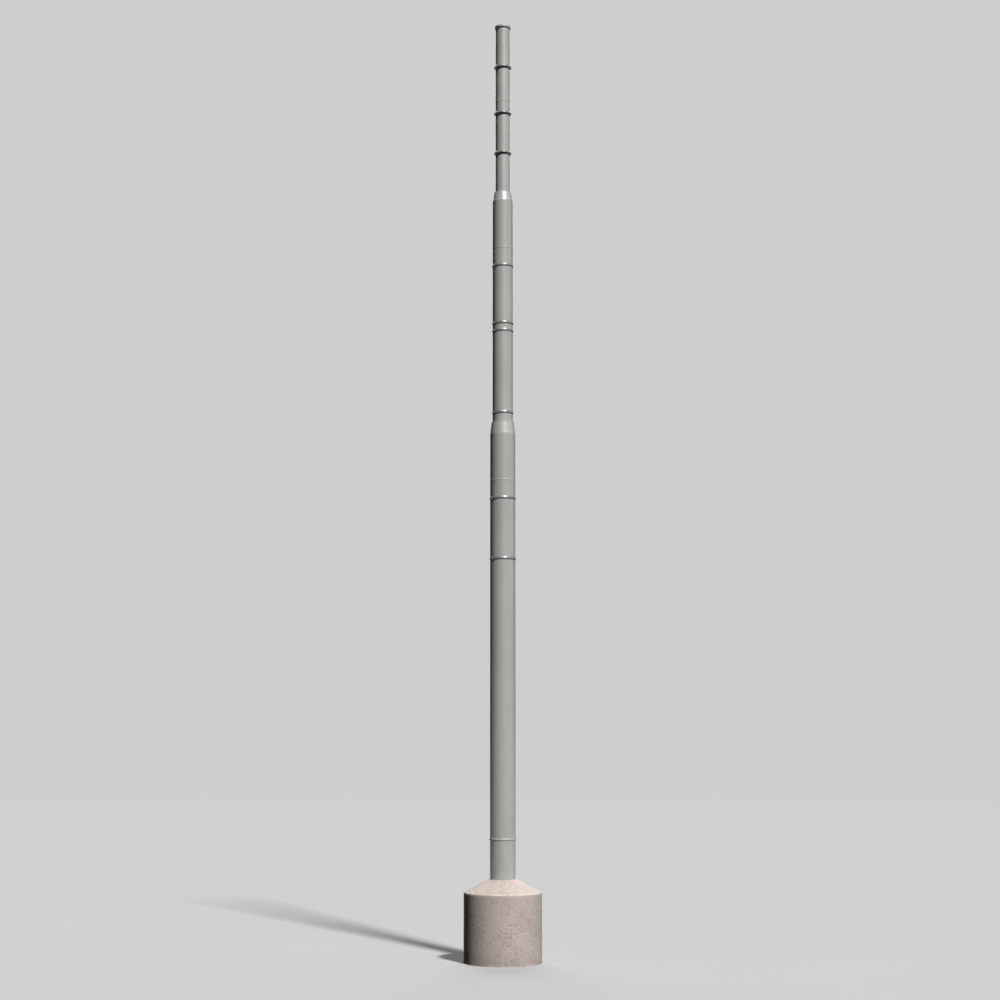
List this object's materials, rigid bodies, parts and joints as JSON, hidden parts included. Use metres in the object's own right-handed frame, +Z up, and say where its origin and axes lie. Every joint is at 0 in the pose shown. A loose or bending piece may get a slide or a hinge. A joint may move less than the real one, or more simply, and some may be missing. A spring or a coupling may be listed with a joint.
{
  "type": "traffic signal pole",
  "caption": "Stepped tubular signal pole with stop rings, weld seams and an overhanging cap, standing in a round concrete collar with a coned top.",
  "frame": {"origin": "on the pole's axis at ground level, the middle of the collar's underside", "axes": "+Z up along the pole; the pole is round, so X and Y are any two level directions"},
  "size_m": [0.6649, 0.665, 8.25],
  "materials": {
    "concrete": "cast concrete, pinkish beige, fine grit and small pits",
    "painted_steel": "light grey satin paint with a slightly uneven gloss",
    "weld_paint": "light grey satin paint over a weld bead"
  },
  "bodies": {
    "root": {"concrete_collar": "concrete", "foot_tube": "painted_steel", "lower_tube": "painted_steel", "lower_stop_ring_1": "painted_steel", "lower_stop_ring_2": "painted_steel", "lower_tube_end": "painted_steel", "lower_reducer": "painted_steel", "middle_tube": "painted_steel", "middle_stop_ring_1": "painted_steel", "middle_stop_ring_2": "painted_steel", "middle_stop_ring_3": "painted_steel", "middle_stop_ring_4": "painted_steel", "middle_tube_end": "painted_steel", "upper_reducer": "painted_steel", "top_tube": "painted_steel", "top_stop_ring_1": "painted_steel", "top_stop_ring_2": "painted_steel", "top_tube_end": "painted_steel", "top_stop_ring_3": "painted_steel", "pole_cap": "painted_steel", "foot_weld_bead": "weld_paint", "lower_seam_bead": "weld_paint", "middle_seam_bead": "weld_paint", "top_seam_bead": "weld_paint"}
  },
  "joints": []
}
